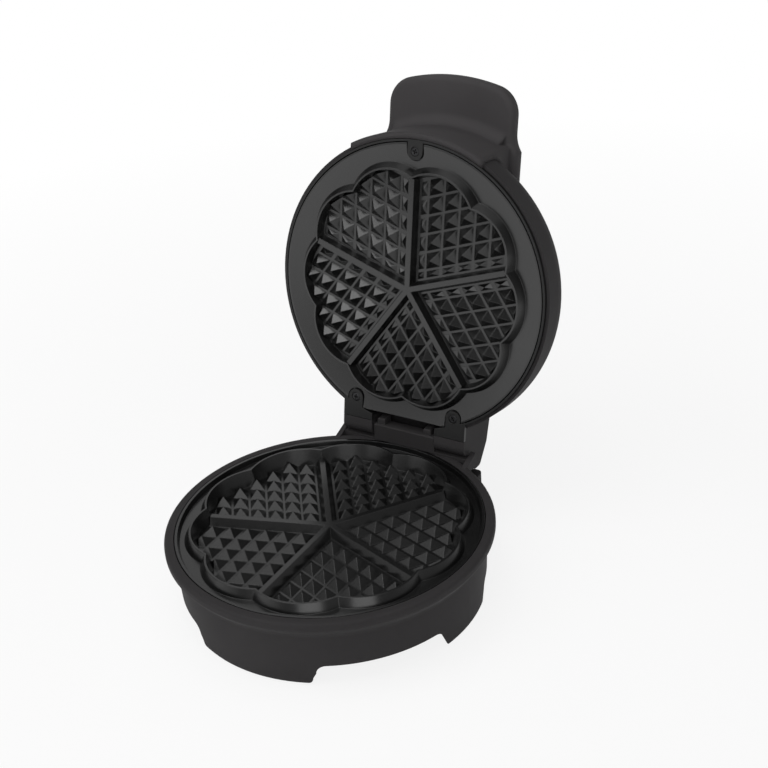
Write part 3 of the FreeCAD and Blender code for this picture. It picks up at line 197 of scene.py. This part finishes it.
# Nodes that wear each look
DRESS = {
    "body": ["base_housing", "lid_shell"],
    "handle": ["handle"],
    "ring": ["lid_ring"],
    "cover": ["bottom_cover"],
    "plate": ["lower_plate", "upper_plate"],
    "rubber": ["foot_pads", "cord_gland"],
    "pale": ["terminal_block", "lamp_holder"],
    "steel": ["hinge_pin", "bottom_cover_screws", "lower_plate_screws", "handle_screws",
              "lower_reflector_screw", "upper_reflector_screw", "thermostat",
              "lower_thermal_fuse", "upper_thermal_fuse"],
    "dark_steel": ["upper_plate_screws"],
    "tube": ["lower_heater", "upper_heater"],
    "sheet": ["lower_reflector", "upper_reflector"],
    "red": ["power_lamp"],
    "green": ["ready_lamp"],
}


def dress():
    for look, names in DRESS.items():
        for name in names:
            mesh = nodes[name].data
            mesh.materials.clear()
            mesh.materials.append(LOOKS[look])


# Middle of the dome, where half of the mesh's shading normals are far off

DOME_PATCH = 0.0005


def smooth_dome(node, middle, normal, reach):
    """Gives the corners within reach of the dome's middle the normal of the dome there."""
    tree = bpy.data.node_groups.new("smooth_dome", "GeometryNodeTree")
    for way in ("INPUT", "OUTPUT"):
        tree.interface.new_socket("Geometry", in_out=way, socket_type="NodeSocketGeometry")

    def add(kind, **settings):
        made = tree.nodes.new(kind)
        for key, value in settings.items():
            setattr(made, key, value)
        return made

    far = add("ShaderNodeVectorMath", operation="DISTANCE")
    far.inputs[1].default_value = middle
    near = add("ShaderNodeMath", operation="LESS_THAN")
    near.inputs[1].default_value = reach
    choice = add("GeometryNodeSwitch", input_type="VECTOR")
    choice.inputs["True"].default_value = normal
    store = add("GeometryNodeSetMeshNormal", mode="FREE", domain="CORNER")
    start, end = add("NodeGroupInput"), add("NodeGroupOutput")
    for out, into in ((add("GeometryNodeInputPosition").outputs["Position"], far.inputs[0]),
                      (far.outputs["Value"], near.inputs[0]),
                      (near.outputs["Value"], choice.inputs["Switch"]),
                      (add("GeometryNodeInputNormal").outputs["Normal"], choice.inputs["False"]),
                      (start.outputs["Geometry"], store.inputs["Mesh"]),
                      (choice.outputs["Output"], store.inputs["Custom Normal"]),
                      (store.outputs["Mesh"], end.inputs["Geometry"])):
        tree.links.new(out, into)
    node.modifiers.new("smooth_dome", "NODES").node_group = tree


# Screw heads with a cross recess

HEAD_RADIUS = 0.0030
HEAD_DEPTH = 0.0012
HEAD_SIDES = 28
# Radius as a share of the head's and depth below its top, from the skirt to the flat top
HEAD_LEVELS = [(1.0, HEAD_DEPTH), (1.0, 0.0003), (0.93, 0.0001), (0.78, 0.0)]
# The recess as shares of the head's radius and depth, and how much it narrows to its floor
SLOT_HALF, SLOT_REACH, SLOT_DEPTH, SLOT_NARROWS = 0.13, 0.6, 0.8, 0.7
# Height of the heads' tops on the upper plate's axis; x, y and turn of each screw
HEAD_TOP = 3.62
SCREWS = [(0, -92.5, 0.3), (38.82, 85.18, 0.9), (-38.82, 85.18, 0.1)]


def closed(points):
    """Pairs of neighbours round a closed loop."""
    return zip(points, points[1:] + points[:1])


def cross_head(bm, centre, turn):
    """Screw head whose cross recess is let into its top; the top looks along -z of the lid."""
    to_lid = Matrix.Translation(centre) @ LID_TURN.to_4x4() @ Matrix.Rotation(turn, 4, "Z")

    def loop(points):
        return [bm.verts.new(to_lid @ p) for p in points]

    def wall(first, second):
        for (a, b), (c, d) in zip(closed(first), closed(second)):
            bm.faces.new((a, b, d, c))

    rings = []
    for share, depth in HEAD_LEVELS:
        radius = HEAD_RADIUS * share
        angles = [2 * math.pi * i / HEAD_SIDES for i in range(HEAD_SIDES)]
        rings.append(loop([Vector((radius * math.cos(a), radius * math.sin(a), depth))
                           for a in angles]))
    for first, second in zip(rings, rings[1:]):
        wall(first, second)

    half, reach = HEAD_RADIUS * SLOT_HALF, HEAD_RADIUS * SLOT_REACH
    cross = []
    for k in range(4):
        a = math.pi / 2 * k
        along = Vector((math.cos(a), math.sin(a), 0))
        side = Vector((-math.sin(a), math.cos(a), 0))
        cross += [along * reach - side * half, along * reach + side * half,
                  along * half + side * half]
    sink = Vector((0, 0, HEAD_DEPTH * SLOT_DEPTH))
    top = loop(cross)
    low = loop([p * SLOT_NARROWS + sink for p in cross])
    wall(top, low)
    bm.faces.new(low)
    edges = [bm.edges.get(pair) for points in (rings[-1], top) for pair in closed(points)]
    bmesh.ops.triangle_fill(bm, edges=edges, use_beauty=True)


def plate_screws():
    """The three screws that hold the upper plate, with recessed heads."""
    bm = bmesh.new()
    for x, y, turn in SCREWS:
        cross_head(bm, lid_point(x, y, HEAD_TOP), turn)
    bmesh.ops.recalc_face_normals(bm, faces=bm.faces)
    mesh = bpy.data.meshes.new("upper_screw_heads")
    bm.to_mesh(mesh)
    bm.free()
    mesh.materials.append(LOOKS["dark_steel"])
    piece = bpy.data.objects.new("upper_screw_heads", mesh)
    scene.collection.objects.link(piece)
    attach(piece, "lid")
    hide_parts("upper_plate_screws")


# Floor, light and camera

FLOOR_HALF = 9.0
# Share of plain white that the floor shows, near the object and away from it; the rest is shadow
FLOOR_WHITE = {"From Min": 0.3, "From Max": 0.9, "To Min": 0.85, "To Max": 1.0}
# Strength of the surroundings, from the horizon to overhead
SKY = {"From Min": 0.05, "From Max": 0.4, "To Min": 0.5, "To Max": 0.2}
# Place, aim, width, height and power of each lamp
LAMPS = {
    "overhead": ((-0.1, -0.4, 1.5), (0, 0, 0.1), 2.0, 2.0, 11),
    "strip": ((-0.1, -0.3, 1.45), (0, 0, 0.1), 0.8, 0.3, 2.4),
    "high_left": ((-0.76, -0.83, 1.2), (0, 0, 0.1), 0.9, 0.9, 3.2),
    "low_left": ((-0.45, -0.7, 0.11), (0, 0.05, 0.15), 0.6, 0.2, 0.22),
    "right_fill": ((0.75, -1.2, 0.75), (0, 0, 0.1), 1.0, 0.8, 5),
    "back_left": ((-0.85, 1.25, 0.95), (0, 0, 0.1), 0.9, 0.9, 1.6),
}
# The camera, fitted to the photograph: place, then direction in degrees
CAMERA_PLACE = (0.45702, -0.68416, 0.58856)
AZIMUTH, ELEVATION, ROLL = 33.717, 31.184, -4.993
CAMERA = {"sensor_width": 36.0, "lens": 67.63, "shift_x": 0.0286, "shift_y": 0.0703,
          "clip_start": 0.05, "clip_end": 50}


def stage():
    """Pale floor that looks white, but keeps the object's shadow."""
    mesh = bpy.data.meshes.new("floor")
    corners = [(-1, -1), (1, -1), (1, 1), (-1, 1)]
    mesh.from_pydata([(x * FLOOR_HALF, y * FLOOR_HALF, 0) for x, y in corners], [], [(0, 1, 2, 3)])
    floor = bpy.data.objects.new("floor", mesh)
    scene.collection.objects.link(floor)
    m = Nodes("pale_floor")
    m.feed(m.ramp(m.noise(3.0), 0.3, 0.7, grey(0.87), grey(0.89)), "Base Color")
    m.fix("Roughness", 0.9)
    m.fix("Specular IOR Level", 0.1)

    def joined(operation, first, second):
        made = m.add("Math", operation=operation)
        m.link(first, made.inputs[0])
        m.link(second, made.inputs[1])
        return made.outputs[0]

    rays = m.add("LightPath").outputs
    seen = joined("MAXIMUM", rays["Is Camera Ray"], rays["Is Glossy Ray"])
    seen = joined("MAXIMUM", seen, rays["Is Transmission Ray"])
    away = m.add("VectorMath", operation="LENGTH")
    m.link(m.place(), away.inputs[0])
    white = m.add("MapRange", FLOOR_WHITE)
    m.link(away.outputs["Value"], white.inputs["Value"])
    mix = m.add("MixShader")
    m.link(joined("MULTIPLY", white.outputs["Result"], seen), mix.inputs["Fac"])
    m.link(m.shader.outputs["BSDF"], mix.inputs[1])
    m.link(m.add("Emission").outputs["Emission"], mix.inputs[2])
    m.link(mix.outputs["Shader"], m.tree.nodes["Material Output"].inputs["Surface"])
    mesh.materials.append(m.material)


def sky():
    """Half-bright round the horizon and dim overhead, like a studio with pale walls."""
    world = bpy.data.worlds.new("studio")
    scene.world = world
    world.use_nodes = True
    tree = world.node_tree
    back = tree.nodes["Background"]
    back.inputs["Color"].default_value = (1, 1, 1, 1)
    place = tree.nodes.new("ShaderNodeTexCoord")
    split = tree.nodes.new("ShaderNodeSeparateXYZ")
    height = tree.nodes.new("ShaderNodeMapRange")
    for key, value in SKY.items():
        height.inputs[key].default_value = value
    tree.links.new(place.outputs["Generated"], split.inputs[0])
    tree.links.new(split.outputs["Z"], height.inputs["Value"])
    tree.links.new(height.outputs["Result"], back.inputs["Strength"])


def lamp(name, place, aim, width, height, power):
    light = bpy.data.lights.new(name, "AREA")
    light.shape = "RECTANGLE"
    light.size = width
    light.size_y = height
    light.energy = power
    thing = bpy.data.objects.new(name, light)
    scene.collection.objects.link(thing)
    thing.location = place
    thing.rotation_mode = "QUATERNION"
    thing.rotation_quaternion = (Vector(aim) - Vector(place)).to_track_quat("-Z", "Y")


def camera():
    data = bpy.data.cameras.new("photo_camera")
    for key, value in CAMERA.items():
        setattr(data, key, value)
    cam = bpy.data.objects.new("photo_camera", data)
    scene.collection.objects.link(cam)
    az, el, roll = (math.radians(a) for a in (AZIMUTH, ELEVATION, ROLL))
    back = Vector((math.sin(az) * math.cos(el), -math.cos(az) * math.cos(el), math.sin(el)))
    right = Vector((math.cos(az), math.sin(az), 0))
    up = back.cross(right)
    tilted = right * math.cos(roll) + up * math.sin(roll)
    upright = up * math.cos(roll) - right * math.sin(roll)
    place = Matrix((tilted, upright, back)).transposed().to_4x4()
    place.translation = CAMERA_PLACE
    cam.matrix_world = place
    scene.camera = cam


dress()
smooth_dome(nodes["lid_shell"], lid_point(0, 0, DOME_TOP), LID_UP, DOME_PATCH)
plate_screws()
stage()
sky()
for lamp_name, settings in LAMPS.items():
    lamp(lamp_name, *settings)
camera()
scene.view_settings.view_transform = "Standard"
